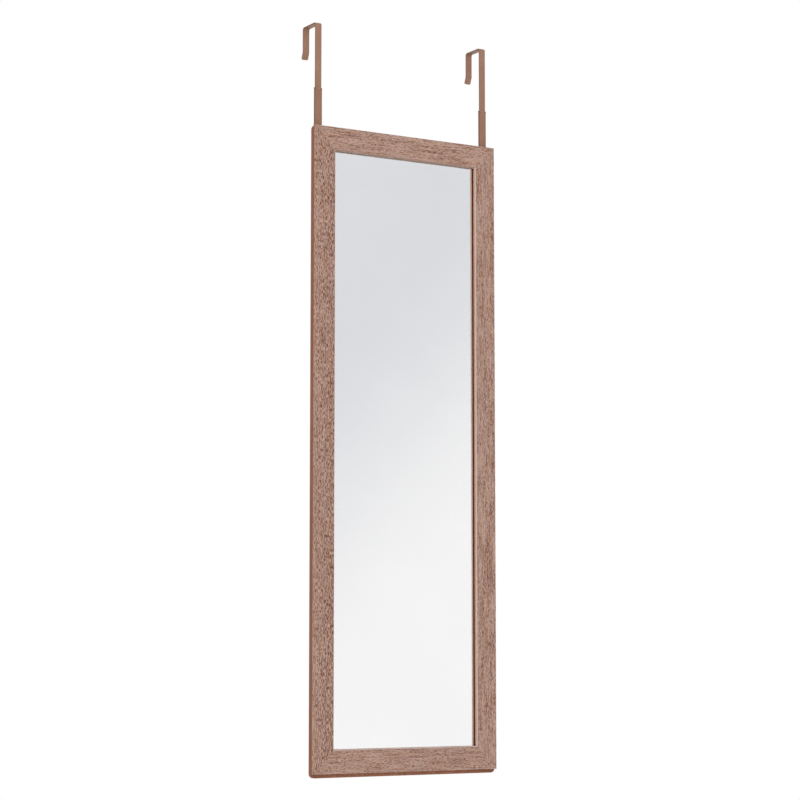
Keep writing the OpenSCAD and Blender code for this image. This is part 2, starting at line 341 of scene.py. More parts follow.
def make_wrap(name, bevel_wear_and_highlight_tone, glass_edge_light_and_shade_tone, back_light_and_shade_tone):
    """The foil. Its bevel's tone is partly a painted highlight. The tones by the glass and on the
    back are painted shade on the sides and painted light on the top.
    """
    finish, tree, shader = new_finish(name, Specular_IOR_Level=0.4)
    flat = add(tree, "UVMap", uv_map="grain").outputs["UV"]
    across = add(tree, "SeparateXYZ", {"Vector": flat}).outputs["X"]
    hollow = add(tree, "Attribute", attribute_name="hollow").outputs["Fac"]
    pores = speckle(tree, flat, (1250, 320, 1), detail=3, low=-0.26, high=0.26)
    toned = grain_print_and_shade(tree, flat, calculate(tree, "ADD", hollow, pores))
    # Pulled thin over the sight edge, where it has one tone that is partly a painted highlight,
    # and another down by the glass, which is painted shade on the sides and painted light on the
    # top
    bevel_start = moulding_w - sight_bevel
    sight = spread(tree, across, bevel_start, bevel_start + 0.4 * MM, 0, 0.88)
    by_glass = spread(tree, across, moulding_w + 3.5 * MM, moulding_w + 6.5 * MM)
    edge_wear_light_and_shade = blend_colours(tree, by_glass, colour(*bevel_wear_and_highlight_tone), colour(*glass_edge_light_and_shade_tone))
    edged = blend_colours(tree, sight, toned, edge_wear_light_and_shade)
    # Painted below the foil's uneven edge on the outer side. Behind, the faces that look back get
    # the tone that colours the shaded seam, which is painted light on the top
    uneven = speckle(tree, flat, (1, 400, 1), high=0.8 * MM)
    foil = spread(tree, calculate(tree, "ADD", across, uneven), -foil_turn, -foil_turn + 0.1 * MM)
    painted = blend_colours(tree, foil, colour(*paint_tone), edged)
    normal = add(tree, "NewGeometry").outputs["Normal"]
    bare = spread(tree, add(tree, "SeparateXYZ", {"Vector": normal}).outputs["Y"], 0.6, 0.7)
    dress(tree, shader, Base_Color=blend_colours(tree, bare, painted, colour(*back_light_and_shade_tone)),
          Roughness=speckle(tree, flat, (400, 90, 1), low=0.5, high=0.66))
    bump(tree, shader, pores, 0.15 * MM)
    return finish


# On the sides the bevel's tone is partly a painted highlight, and the glass and back tones darken
# the shaded seam. On the top they are painted light
wrap = make_wrap("wood_look_wrap", bevel_wear_and_highlight_tone=(208, 188, 178), glass_edge_light_and_shade_tone=(206, 136, 92),
                 back_light_and_shade_tone=(180, 50, 6))
top_wrap = make_wrap("wood_look_wrap_top", bevel_wear_and_highlight_tone=(170, 138, 123),
                     glass_edge_light_and_shade_tone=(254, 222, 200), back_light_and_shade_tone=(255, 232, 214))

# %% [markdown]
# ## The grain
# The grain could be one noise, but the real one is three things at once: dashes, finer lines
# between them and long streaks, on a path that sways to and fro. Each is a noise that is
# stretched along the moulding, and their sum is how deep the foil is pressed in.

# %% The grain as a height field
def grain_depth(across, along, seed, lean, calm):
    """How deep the foil is pressed in, 0 to 1, at a place given in millimetres.

    lean is how much stronger the grain is at the sight edge than at the outer edge. calm is how
    far it goes from short strong wavy dashes, 0, to long quiet lines, 1."""
    drift = 3 * noise.noise(Vector((across / 40, along / 50, seed)))
    wave = (2 - 0.7 * calm) * noise.noise(Vector((across / 16, along / 16, seed + 7)))
    slipped = across + drift + wave
    dash = noise.noise(Vector((slipped / 1.15, along / (6.4 - 1.1 * calm), seed + 13)))
    fine = noise.noise(Vector((slipped / 0.8, along / 3.5, seed + 31)))
    streak = noise.noise(Vector((slipped / 1.6, along / 45, seed + 41)))
    clump = noise.noise(Vector((across / 9, along / 24, seed + 53)))
    slow = noise.noise(Vector((across / 13, along / 45, seed + 67)))
    place = lean * (across * MM / moulding_w - 0.5)
    dashes = (1.2 - 0.7 * calm) * dash + (0.65 - 0.4 * calm) * fine
    depth = 0.445 - 0.055 * calm + 0.28 * place + (0.08 + 0.08 * calm) * slow
    depth += (1 + 0.3 * clump + place) * dashes + (0.35 + 0.05 * calm) * streak
    return min(1.0, max(0.0, depth))


tries = [grain_depth(20, along, seed=0, lean=0, calm=0) for along in range(100)]
print("grain: depths from", round(min(tries), 2), "to", round(max(tries), 2), "on 100 mm")


# %% Press the grain into a bar
emboss_depth = 0.4 * MM
plain_strip = 0.5 * MM


def emboss(bar, reach, grain):
    """Lay flat coordinates over the bar, then press the grain in, all but the strip behind."""
    mesh = bar.data
    places = np.zeros(len(mesh.vertices) * 3)
    mesh.vertices.foreach_get("co", places)
    places = places.reshape(-1, 3)
    inwards = places[:, X] + reach
    behind = places[:, Y] - face_y
    across = inwards + np.where(inwards < moulding_w / 2, -behind, behind)
    along = places[:, Z]
    corner_of = np.zeros(len(mesh.loops), dtype=int)
    mesh.loops.foreach_get("vertex_index", corner_of)
    flat = mesh.uv_layers.active
    flat.name = "grain"
    flat.data.foreach_set("uv", np.stack([across, along], 1)[corner_of].ravel())

    deepest = moulding_back - face_y - plain_strip
    hollow = [
        grain_depth(u / MM, v / MM, **grain) if d < deepest and u > -foil_turn else 0.0
        for u, v, d in zip(across, along, behind)
    ]
    mesh.attributes.new("hollow", "FLOAT", "POINT").data.foreach_set("value", hollow)
    group = bar.vertex_groups.new(name="emboss")
    for index, depth in enumerate(hollow):
        group.add([index], depth, "REPLACE")
    modify(bar, "DISPLACE", vertex_group="emboss", strength=-emboss_depth, mid_level=0)
    bar.vertex_groups.clear()


# %% [markdown]
# ## The front mouldings
# The frame could be one sheet with a hole, but then its grain couldn't turn at the corners. So
# one long bar is modelled per side, the way the real one is made: a plain strip gets a rounded
# outer edge and a bevelled sight edge, the wrapped surface is embossed, and only then are the
# ends sawn to 45 degrees. Subdividing the short edges first and the long edges next gives a
# fine even grid. A vertex group holds the depth of every dent, and a Displace modifier
# presses it in.

# %% One moulding
spare_end = 3 * MM
# Shortest and longest edge, and its cuts: the face, the two side walls, the bevel
end_cuts = ((20 * MM, 60 * MM, 80), (5 * MM, 9 * MM, 6), (2 * MM, 3 * MM, 2))


def cut_across(bar, end, shortest, longest, cuts):
    """Subdivide the edges of a certain length at both ends of the bar, the back's apart."""
    pick(bar, "EDGE", lambda e: near(abs(middle(e).z), end)
         and shortest < e.calc_length() < longest
         and middle(e).y < moulding_back - 0.1 * MM)
    bpy.ops.mesh.subdivide(number_cuts=cuts)


def moulding(name, turn, reach, length, cuts_along, grain):
    """A moulding on the left, as long as it is at its outer edge, turned to its side."""
    end = length / 2 + spare_end
    sight_x = -reach + moulding_w
    bar = start_block(name, (-reach, face_y, -end), (sight_x, moulding_back, end))
    edit(bar)
    for x, size, segments in ((-reach, outer_round, 4), (sight_x, sight_bevel, 1)):
        pick(bar, "EDGE", lambda e: runs(e, Z) and near(middle(e).x, x)
             and near(middle(e).y, face_y))
        bpy.ops.mesh.bevel(offset=size, segments=segments, affect="EDGES")
    for shortest, longest, cuts in end_cuts:
        cut_across(bar, end, shortest, longest, cuts)
    for _ in range(2):
        pick(bar, "EDGE", lambda e: runs(e, Z))
        bpy.ops.mesh.subdivide(number_cuts=cuts_along)
    leave_edit()
    emboss(bar, reach, grain)
    edit(bar)
    for up in (1, -1):
        bpy.ops.mesh.select_all(action="SELECT")
        bpy.ops.mesh.bisect(plane_co=(-reach, 0, up * length / 2), plane_no=(1, 0, up),
                            use_fill=True, clear_outer=True)
    leave_edit()
    bar.rotation_euler.y = math.radians(turn)
    bar.location.z = frame_mid
    bpy.ops.object.transform_apply(location=True, rotation=True, scale=True)
    tidy_mesh(bar, smooth_under=45)
    return bar


# %% All four mouldings
side_cuts, end_rail_cuts = 27, 15
for side, turn, reach, length, cuts_along, finish, grain in (
    ("left", 0, frame_w / 2, frame_h, side_cuts, wrap, dict(seed=3.1, lean=0.5, calm=0.0)),
    ("top", 90, frame_h / 2, frame_w, end_rail_cuts, top_wrap,
     dict(seed=41.7, lean=0.0, calm=0.8)),
    ("right", 180, frame_w / 2, frame_h, side_cuts, wrap, dict(seed=77.3, lean=-0.2, calm=0.9)),
    ("bottom", 270, frame_h / 2, frame_w, end_rail_cuts, wrap,
     dict(seed=112.9, lean=0.0, calm=0.8)),
):
    bar = moulding(side + "_moulding", turn, reach, length, cuts_along, grain)
    hand_over(bar, finish, "wood_look", "mirror", "moulding_" + side)

# %% [markdown]
# ## The base rails
# Behind the mouldings runs a smooth fibreboard ring in red-brown satin paint. It shows as a dark
# line along the left side and under the frame. A ring could be cut out of one board, but four
# rails waste less of it, and the construction has four. Each rail starts as a block, the side
# rails get the frame's big round corners, and the arrises are broken so that they catch a thin
# line of light, as sanded and painted board does.

# %% Finish: satin paint on fibreboard
def object_place(tree):
    """Where a point lies on the object, in metres."""
    return add(tree, "TexCoord").outputs["Object"]


def make_paint():
    finish, tree, shader = new_finish("base_paint", Specular_IOR_Level=0.25)
    place = object_place(tree)
    cloud = speckle(tree, place, scale=22, detail=3)
    darker = [value - 5 for value in paint_tone]
    lighter = [value + 5 for value in paint_tone]
    paint = blend_colours(tree, cloud, colour(*darker), colour(*lighter))
    # Sanded arrises, where the paint is thin and the board shines through
    arris = add(tree, "NewGeometry").outputs["Pointiness"]
    worn = calculate(tree, "MULTIPLY", spread(tree, arris, 0.52, 0.6),
                     speckle(tree, place, scale=260, detail=3))
    dress(tree, shader, Base_Color=blend_colours(tree, worn, paint, colour(156, 106, 80)),
          Roughness=speckle(tree, place, scale=900, low=0.42, high=0.56))
    # Fine orange peel of the roller
    bump(tree, shader, speckle(tree, place, scale=700, detail=2), 0.03 * MM)
    return finish


paint = make_paint()


# %% Base rails
base_round = 8.5 * MM
arris_round = 0.7 * MM


def base_rail(name, node, inner_axis, inner_place, corners):
    """A rail from its plain part's box. The edges at inner_place butt on other parts."""
    low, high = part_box(node)
    rail = start_block(name, low, high)
    edit(rail)
    if corners:
        pick(rail, "EDGE", lambda e: runs(e, Y) and not near(middle(e)[inner_axis], inner_place))
        bpy.ops.mesh.bevel(offset=base_round, segments=10, affect="EDGES")
    pick(rail, "EDGE", lambda e: not runs(e, Y)
         and not near(middle(e)[inner_axis], inner_place)
         and (corners or runs(e, X)))
    bpy.ops.mesh.bevel(offset=arris_round, segments=3, affect="EDGES")
    leave_edit()
    tidy_mesh(rail)
    hand_over(rail, paint, "base_paint", "mirror", node)


rebate_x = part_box("base_rail_right")[0].x
rebate_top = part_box("base_rail_top")[0].z
rebate_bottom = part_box("base_rail_bottom")[1].z
base_rail("left_rail", "base_rail_left", X, -rebate_x, corners=True)
base_rail("right_rail", "base_rail_right", X, rebate_x, corners=True)
base_rail("top_rail", "base_rail_top", Z, rebate_top, corners=False)
base_rail("bottom_rail", "base_rail_bottom", Z, rebate_bottom, corners=False)

# %% [markdown]
# ## Glass and silver
# A mirror is a clear sheet with a reflecting film behind it. One shiny face would reflect as
# well. Modelling both gives what the photograph shows at the right sight edge too: the wrapped
# wall, a dark seam where the eye looks under the moulding through the glass, and the wall's
# reflection. A hair of air on both sides keeps the glass from sharing a surface with its
# neighbours.

# %% Finish: float glass and silver film
def make_glass():
    """Low-iron glass: nearly colourless, and the least bit uneven in its tint."""
    finish, tree, shader = new_finish("float_glass", Transmission_Weight=1.0, IOR=1.52,
                                      Roughness=0.0)
    unevenness = speckle(tree, object_place(tree), scale=4)
    dress(tree, shader, Base_Color=blend_colours(tree, unevenness, colour(254, 254, 254),
                                                 colour(255, 255, 255)))
    return finish


def make_silver():
    finish, tree, shader = new_finish("silver_film", Metallic=1.0)
    place = object_place(tree)
    clouds = speckle(tree, place, scale=6, detail=3)
    dress(tree, shader,
          Base_Color=blend_colours(tree, clouds, colour(248, 248, 248), colour(250, 250, 250)),
          Roughness=speckle(tree, place, scale=30, low=0.0, high=0.012))
    return finish


float_glass = make_glass()
silver_film = make_silver()


# %% Soften edges, and finish a part as it is
def soften(piece, width, segments=2, sharper_than=40):
    """Round all edges that are sharper than an angle."""
    modify(piece, "BEVEL", width=width, segments=segments, limit_method="ANGLE",
           angle_limit=math.radians(sharper_than), miter_outer="MITER_ARC")


def refinish(node, finish):
    """Keep a part of the construction as it is, with a better material."""
    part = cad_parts[node]
    if not part.material_slots:
        part.data.materials.append(finish)
    for material_slot in part.material_slots:
        material_slot.material = finish
    print(f"{node}: kept, finished with {finish.name}")


# %% Glass sheet with seamed edges
air = Vector((0, 0.05 * MM, 0))
glass_low, glass_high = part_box("mirror_glass")
glass = start_block("glass_sheet", glass_low + air, glass_high - air)
soften(glass, 0.3 * MM)
tidy_mesh(glass, smooth_under=20)
hand_over(glass, float_glass, "glass", "mirror", "mirror_glass")
refinish("silver_backing", silver_film)

# %% [markdown]
# ## Card and backing board
# Behind the silver lie a sheet of plain card and a thin hardboard. Hardboard is pressed against
# a wire screen, which leaves a fine net on its rough side, the one that faces the door. The net
# is far too shallow to model wire by wire. Two sets of waves at right angles give it instead,
# as bump and as tone, and stretched noise gives the fibres.

# %% Finish: card and screen-back hardboard
def make_card():
    finish, tree, shader = new_finish("plain_card", Roughness=0.9)
    fibres = speckle(tree, object_place(tree), scale=500, detail=4)
    dress(tree, shader,
          Base_Color=blend_colours(tree, fibres, colour(158, 148, 132), colour(182, 171, 153)))
    bump(tree, shader, fibres, 0.05 * MM)
    return finish


def make_hardboard():
    """Pressed brown fibres with the net of the screen, about 3 mm from wire to wire."""
    finish, tree, shader = new_finish("hardboard")
    place = object_place(tree)
    fibres = speckle(tree, place, (1, 1, 0.4), scale=420, detail=5)
    clouds = speckle(tree, place, scale=14, detail=4)
    brown = blend_colours(tree, fibres, colour(116, 82, 56), colour(152, 114, 82))
    mottled = blend_colours(tree, clouds, brown, colour(124, 92, 66))
    height = fibres
    for direction in ("X", "Z"):
        wires = add(tree, "TexWave", {"Vector": place, "Scale": 105, "Distortion": 0.4,
                                      "Detail": 1.0}, bands_direction=direction)
        height = calculate(tree, "ADD", height, wires.outputs["Fac"])
    shade = spread(tree, height, 0.3, 2.4)
    net = blend_colours(tree, shade, colour(196, 188, 180), colour(255, 255, 255))
    dress(tree, shader, Base_Color=blend_colours(tree, 1.0, mottled, net, "MULTIPLY"),
          Roughness=speckle(tree, place, scale=200, low=0.72, high=0.9))
    bump(tree, shader, height, 0.12 * MM, strength=0.8)
    return finish


plain_card = make_card()
hardboard = make_hardboard()

# %% Card and board
refinish("card_sheet", plain_card)
board_low, board_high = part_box("backing_board")
board = start_block("hardboard_back", board_low, board_high)
soften(board, 0.4 * MM)
tidy_mesh(board)
hand_over(board, hardboard, "board", "mirror", "backing_board")

# %% [markdown]
# ## Zinc fasteners
# Points, brads, nails, nuts and screws are steel with a thin zinc plating. Plain grey would look
# like plastic, so the finish is a metal. The plating is bluish and slightly cloudy, and its
# gloss changes from spot to spot. The nails and nuts are hidden in the wood and keep their
# plain shape.

# %% Finish: zinc plating
def make_zinc():
    finish, tree, shader = new_finish("zinc_plating", Metallic=1.0)
    place = object_place(tree)
    clouds = speckle(tree, place, scale=380, detail=4)
    dress(tree, shader,
          Base_Color=blend_colours(tree, clouds, colour(168, 172, 178), colour(204, 206, 208)),
          Roughness=speckle(tree, place, scale=900, low=0.28, high=0.48))
    bump(tree, shader, speckle(tree, place, scale=1500, detail=2), 0.015 * MM)
    return finish


zinc = make_zinc()
for node in ("v_nails", "clamp_nut_left", "clamp_nut_right"):
    refinish(node, zinc)

# %% [markdown]
# ## Retaining points
# A framer's point is a small flat arrow of steel. Its tip is driven into the rail, and its tail
# lies on the board. Twelve of them could be modelled one by one. It is quicker to model one at
# the origin, pointing along +X, and to place copies of it, each with a mesh of its own.

# %% Copies and joins
def copy_of(piece, shift=(0, 0, 0), quarter_turns=0):
    """A copy with its own mesh, turned about the door's axis at the origin and then moved."""
    only(piece)
    bpy.ops.object.duplicate()
    twin = bpy.context.active_object
    twin.rotation_euler.y = quarter_turns * math.pi / 2
    twin.location = shift
    bpy.ops.object.transform_apply(location=True, rotation=True, scale=True)
    return twin


def joined(name, copies):
    """One object of several loose parts."""
    only(copies[0])
    for other in copies:
        other.select_set(True)
    bpy.ops.object.join()
    return settle(name)


def drop(piece):
    """Delete a pattern or a cutter that is no longer needed."""
    bpy.data.objects.remove(piece, do_unlink=True)


# %% One point
def extrude(*way):
    """Extrude what is selected, straight along a way given as X, Y and Z."""
    bpy.ops.mesh.extrude_region_move(TRANSFORM_OT_translate={"value": way})


point_half, point_over, point_shoulder, point_in = 4 * MM, 8 * MM, 2 * MM, 6 * MM
point_corner, tip_share = 1.2 * MM, 0.06
point_low, point_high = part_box("retaining_points")
point = start_block("point", (-point_over, point_low.y, -point_half),
                    (point_shoulder, point_high.y, point_half))
edit(point)
pick(point, "FACE", lambda f: f.normal.x > 0.9)
extrude(point_in - point_shoulder, 0, 0)
bpy.ops.transform.resize(value=(1, 1, tip_share), center_override=(point_in, 0, 0))
pick(point, "EDGE", lambda e: runs(e, Y) and near(middle(e).x, -point_over))
bpy.ops.mesh.bevel(offset=point_corner, segments=4, affect="EDGES")
leave_edit()
soften(point, 0.08 * MM, segments=1)
print("a point is", round((point_over + point_in) / MM), "mm long")

# %% Points round the board
rows = 4
pitch = (rebate_top - rebate_bottom) / rows
copies = []
for row in range(rows):
    height = rebate_top - (row + 0.5) * pitch
    copies.append(copy_of(point, (rebate_x, 0, height)))
    copies.append(copy_of(point, (-rebate_x, 0, height), quarter_turns=2))
for x in (-rebate_x / 2, rebate_x / 2):
    copies.append(copy_of(point, (x, 0, rebate_top), quarter_turns=-1))
    copies.append(copy_of(point, (x, 0, rebate_bottom), quarter_turns=1))
drop(point)
points = joined("points", copies)
tidy_mesh(points)
hand_over(points, zinc, "zinc", "mirror", "retaining_points")

# %% [markdown]
# ## Brads
# The brads that pin the rails to the mouldings have small round heads. A head could be a second
# cylinder, but then it would only touch the shank. Here it grows out of the shank: the back end
# is extruded in place, widened and drawn out, which leaves one closed skin.

# %% One brad
def start_disc(name, place, radius, depth, corners=64):
    """A short cylinder whose axis runs through the door, from place towards the room behind."""
    centre = Vector(place) + Vector((0, depth / 2, 0))
    bpy.ops.object.select_all(action="DESELECT")
    bpy.ops.mesh.primitive_cylinder_add(
        vertices=corners, radius=radius, depth=depth, location=centre,
        rotation=(-math.pi / 2, 0, 0),
    )
    return settle(name)


def widen(share, y):
    """Scale what is selected across the door about the origin's axis, at the depth y."""
    bpy.ops.transform.resize(value=(share, 1, share), center_override=(0, y, 0))


brad_r, brad_len, brad_head_r, brad_proud = 0.7 * MM, 13 * MM, 1.1 * MM, 0.15 * MM
rail_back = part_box("base_rail_left")[1].y
brad = start_disc("brad", (0, rail_back - brad_len, 0), brad_r, brad_len, corners=16)
edit(brad)
pick(brad, "FACE", lambda f: f.normal.y > 0.9)
extrude(0, 0, 0)
widen(brad_head_r / brad_r, rail_back)
extrude(0, brad_proud, 0)
widen(0.85, rail_back)
leave_edit()
print("a brad is", round((brad_len + brad_proud) / MM, 2), "mm long")

# %% Brads along the rails
side_inset, end_inset = 30 * MM, 25 * MM
side_steps = 5
side_rows = [(frame_w / 2 - side_inset, frame_top - step * frame_h / side_steps)
             for step in range(1, side_steps)]
end_rows = [(x, z) for z in (frame_top - end_inset, frame_bottom + end_inset)
            for x in (40 * MM, 120 * MM)]
copies = [copy_of(brad, (side * x, 0, z)) for side in (-1, 1) for x, z in side_rows + end_rows]
drop(brad)
brads = joined("brads", copies)
tidy_mesh(brads)
hand_over(brads, zinc, "zinc", "mirror", "frame_brads")

# %% [markdown]
# ## Powder coat
# The hangers are steel strip in a satin powder coat of the frame's own brown. Powder melts into
# a skin with a faint pebbled relief. The faces that look sideways, along X, such as the strip's
# narrow edges, are darker, and the coat rubs off on sharp corners, which are lighter. Both could
# be painted by hand. Here the surface's own direction and its sharpness say where they go, on
# every hanger alike.
# The channels come from a slightly darker batch than the hooks.

# %% Finish: powder coat
def make_powder_coat(name, red, green, blue):
    finish, tree, shader = new_finish(name, Specular_IOR_Level=0.35)
    place = object_place(tree)
    cloud = speckle(tree, place, (1, 1, 0.5), scale=60, detail=3)
    flats = blend_colours(tree, cloud, colour(red - 4, green - 4, blue - 4),
                          colour(red + 4, green + 4, blue + 4))
    surface = add(tree, "NewGeometry").outputs
    sideways = add(tree, "SeparateXYZ", {"Vector": surface["Normal"]}).outputs["X"]
    # Darker on the faces that look sideways, along X
    facing_sideways = spread(tree, calculate(tree, "MULTIPLY", sideways, sideways), 0.03, 0.5)
    coat = blend_colours(tree, facing_sideways, flats, colour(red - 34, green - 32, blue - 28))
    rubbed = calculate(tree, "MULTIPLY", spread(tree, surface["Pointiness"], 0.52, 0.62),
                       speckle(tree, place, scale=500, detail=3, low=0.1, high=0.6))
    thin_coat = colour(red + 20, green + 22, blue + 22)
    pebbles = speckle(tree, place, scale=1600, detail=2)
    dress(tree, shader, Base_Color=blend_colours(tree, rubbed, coat, thin_coat),
          Roughness=spread(tree, pebbles, 0, 1, 0.44, 0.58))
    bump(tree, shader, pebbles, 0.03 * MM)
    return finish


hook_coat = make_powder_coat("hook_coat", 148, 112, 92)
channel_coat = make_powder_coat("channel_coat", 145, 107, 86)

# %% [markdown]
# ## The guide channels
# Each hook slides in a folded channel. It could be carved out of a block, but its walls would
# hardly come out even. So it is modelled as it is folded: a flat strip, its edges turned back
# to make the side walls and turned in to make the lips, and the four folds rounded. Solidify
# then gives the skin the thickness of the sheet. A lower tongue and a side ear take the screws,
# and the mouth has a rim that stands slightly proud.

# %% Sizes of the hangers
hook_low, hook_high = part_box("hook_right")
hook_x = (hook_low.x + hook_high.x) / 2
strap_w = hook_high.x - hook_low.x
channel_low, channel_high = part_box("channel_right")
sheet_t = 1.2 * MM
side_play = 0.2 * MM
channel_w = strap_w + 2 * side_play + 2 * sheet_t
web_y = rail_back
lip_y = channel_high.y
slit_w = 8 * MM
fold_round = 1.6 * MM
tongue_len, tongue_shoulder, tongue_corner = 30 * MM, 3 * MM, 5 * MM
channel_end = channel_low.z + tongue_len
rim_h, rim_proud = 2.5 * MM, 0.4 * MM
ear_reach, ear_half, ear_lap, ear_corner = 16 * MM, 8 * MM, 4 * MM, 4 * MM
ear_x, ear_z = hook_x - channel_w / 2, frame_top - 63 * MM
print("hooks at x =", round(hook_x / MM, 1), "strap", round(strap_w / MM, 1), "mm wide")


# %% Open skins
def start_sheet(name, place, width, height):
    """A thin upright plane that looks towards the front."""
    bpy.ops.object.select_all(action="DESELECT")
    bpy.ops.mesh.primitive_plane_add(size=1, location=place, rotation=(math.pi / 2, 0, 0))
    bpy.context.active_object.scale = (width, height, 1)
    return settle(name)


def face_normals_to_front(piece, web_depth):
    """Make an open skin's normals agree, and turn its flat web at that depth to the front."""
    bpy.ops.mesh.select_all(action="SELECT")
    bpy.ops.mesh.normals_make_consistent(inside=False)
    mesh = bmesh.from_edit_mesh(piece.data)
    mesh.faces.ensure_lookup_table()
    tested = next(f for f in mesh.faces if near(middle(f).y, web_depth))
    if tested.normal.y > 0:
        bpy.ops.mesh.flip_normals()


# %% The folded skin
def fold_channel(name):
    """The right-hand channel as a bare skin of its outer faces, then as thick as the sheet."""
    tall = channel_high.z - channel_end
    skin = start_sheet(name, (hook_x, web_y, channel_end + tall / 2), channel_w, tall)
    edit(skin)
    pick(skin, "EDGE", lambda e: runs(e, Z))
    extrude(0, lip_y - web_y, 0)
    lip_w = (channel_w - slit_w) / 2
    for side in (-1, 1):
        pick(skin, "EDGE", lambda e: runs(e, Z) and near(middle(e).y, lip_y)
             and near(middle(e).x, hook_x + side * channel_w / 2))
        extrude(-side * lip_w, 0, 0)
    pick(skin, "EDGE", lambda e: runs(e, Z) and near(abs(middle(e).x - hook_x), channel_w / 2))
    bpy.ops.mesh.bevel(offset=fold_round, segments=6, affect="EDGES")
    # The tongue goes on below the flat of the web and widens to the channel's full width
    pick(skin, "EDGE", lambda e: near(middle(e).z, channel_end) and near(middle(e).y, web_y)
         and e.calc_length() > channel_w / 2)
    extrude(0, 0, -tongue_shoulder)
    full = channel_w / (channel_w - 2 * fold_round)
    bpy.ops.transform.resize(value=(full, 1, 1), center_override=(hook_x, web_y, channel_end))
    extrude(0, 0, tongue_shoulder - tongue_len)
    pick(skin, "VERT", lambda v: near(v.co.z, channel_low.z))
    bpy.ops.mesh.bevel(offset=tongue_corner, segments=6, affect="VERTICES")
    face_normals_to_front(skin, web_y)
    leave_edit()
    modify(skin, "SOLIDIFY", thickness=sheet_t, offset=-1, use_even_offset=True)
    return skin


# %% Rim, ear and soft edges
def outer_wall(face):
    """True for the rim's faces on the front and both sides, not for the lips or the cavity."""
    away = middle(face) - Vector((hook_x, (web_y + lip_y) / 2, 0))
    away.z = 0
    return (middle(face).z > channel_high.z - rim_h and abs(face.normal.z) < 0.1
            and face.normal.y < 0.5 and face.normal.dot(away.normalized()) > 0.5)


def make_channel(name):
    channel = fold_channel(name)
    edit(channel)
    bpy.ops.mesh.select_all(action="SELECT")
    bpy.ops.mesh.normals_make_consistent(inside=False)
    bpy.ops.mesh.bisect(plane_co=(0, 0, channel_high.z - rim_h), plane_no=(0, 0, 1))
    pick(channel, "FACE", outer_wall)
    bpy.ops.mesh.extrude_region_shrink_fatten(TRANSFORM_OT_shrink_fatten={"value": rim_proud})
    leave_edit()
    ear = start_block("ear", (ear_x - ear_reach, web_y, ear_z - ear_half),
                      (ear_x + ear_lap, web_y + sheet_t, ear_z + ear_half))
    edit(ear)
    pick(ear, "EDGE", lambda e: runs(e, Y) and middle(e).x < ear_x)
    bpy.ops.mesh.bevel(offset=ear_corner, segments=6, affect="EDGES")
    leave_edit()
    modify(channel, "BOOLEAN", operation="UNION", solver="EXACT", object=ear)
    drop(ear)
    soften(channel, 0.15 * MM)
    tidy_mesh(channel)
    return channel


# %% Both channels
def mirrored(piece, name):
    """The left-hand twin of a right-hand piece, with its faces turned outwards again."""
    twin = copy_of(piece)
    twin.scale.x = -1
    twin = settle(name)
    tidy_mesh(twin)
    return twin


right_channel = make_channel("right_channel")
left_channel = mirrored(right_channel, "left_channel")
hand_over(right_channel, channel_coat, "hook_paint", "mirror", "channel_right")
hand_over(left_channel, channel_coat, "hook_paint", "mirror", "channel_left")

# %% [markdown]
# ## Channel screws
# Pan-head screws with a cross recess hold the channels. The head could be a half ball, but a
# pan head is flat on top: a short cylinder whose rim gets a wide soft bevel. Two thin blocks
# are cut out of it for the recess, and the shank is extruded from the underside. Six copies of
# one screw are enough, because nobody sees how each of them is turned.

# %% Cross-head wood screw at the origin, its head towards the door
head_r, head_t, head_round = 2.75 * MM, 1.6 * MM, 1.2 * MM
shank_r, shank_len, shank_point = 1.5 * MM, 8 * MM, 2 * MM
recess_long, recess_thin, recess_deep = 1.45 * MM, 0.3 * MM, 0.9 * MM
cutter_spare = 1 * MM


def rim_at(y):
    """A test for the edges that lie wholly at one depth, such as a disc's rim."""
    return lambda e: all(near(v.co.y, y) for v in e.verts)


def cut_away(piece, cutter):
    """Subtract a cutter from a piece and delete the cutter."""
    modify(piece, "BOOLEAN", operation="DIFFERENCE", solver="EXACT", object=cutter)
    drop(cutter)


def wood_screw():
    screw = start_disc("screw", (0, 0, 0), head_r, head_t, corners=32)
    edit(screw)
    pick(screw, "EDGE", rim_at(head_t))
    bpy.ops.mesh.bevel(offset=head_round, segments=5, affect="EDGES")
    pick(screw, "FACE", lambda f: f.normal.y < -0.9)
    bpy.ops.mesh.inset(thickness=head_r - shank_r, depth=0)
    extrude(0, -shank_len + shank_point, 0)
    extrude(0, -shank_point, 0)
    widen(0.1, 0)
    leave_edit()
    for half_x, half_z in ((recess_long, recess_thin), (recess_thin, recess_long)):
        slot = start_block("slot", (-half_x, head_t - recess_deep, -half_z),
                           (half_x, head_t + cutter_spare, half_z))
        cut_away(screw, slot)
    return screw


screw = wood_screw()
print("a wood screw has", len(screw.data.polygons), "faces")

# %% Six screws, three for each channel
web_inside = web_y + sheet_t
screw_places = [(hook_x, channel_end - 7 * MM), (hook_x, channel_end - 21 * MM),
                (ear_x - ear_reach / 2, ear_z)]
for side, name in ((1, "right"), (-1, "left")):
    copies = [copy_of(screw, (side * x, web_inside, z)) for x, z in screw_places]
    screws = joined(name + "_channel_screws", copies)
    tidy_mesh(screws)
    hand_over(screws, zinc, "zinc", "mirror", "channel_screws_" + name)
drop(screw)

# %% [markdown]
# ## Clamp screws
# The screw that clamps each strap has a low flat head with a hexagon socket, so that the door
# has room behind it. It is made like the wood screw. Its place comes from the construction,
# because it runs through the strap's slot into a nut in the rail.

# %% Clamp screws
clamp_low, clamp_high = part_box("clamp_screw_right")
clamp_r, clamp_head_r, clamp_head_t, clamp_round = 2 * MM, 3.5 * MM, 1.2 * MM, 0.35 * MM
socket_r, socket_deep, socket_cutter = 1.4 * MM, 0.8 * MM, 2 * MM
clamp_z = (clamp_low.z + clamp_high.z) / 2
under_head = clamp_high.y - clamp_head_t


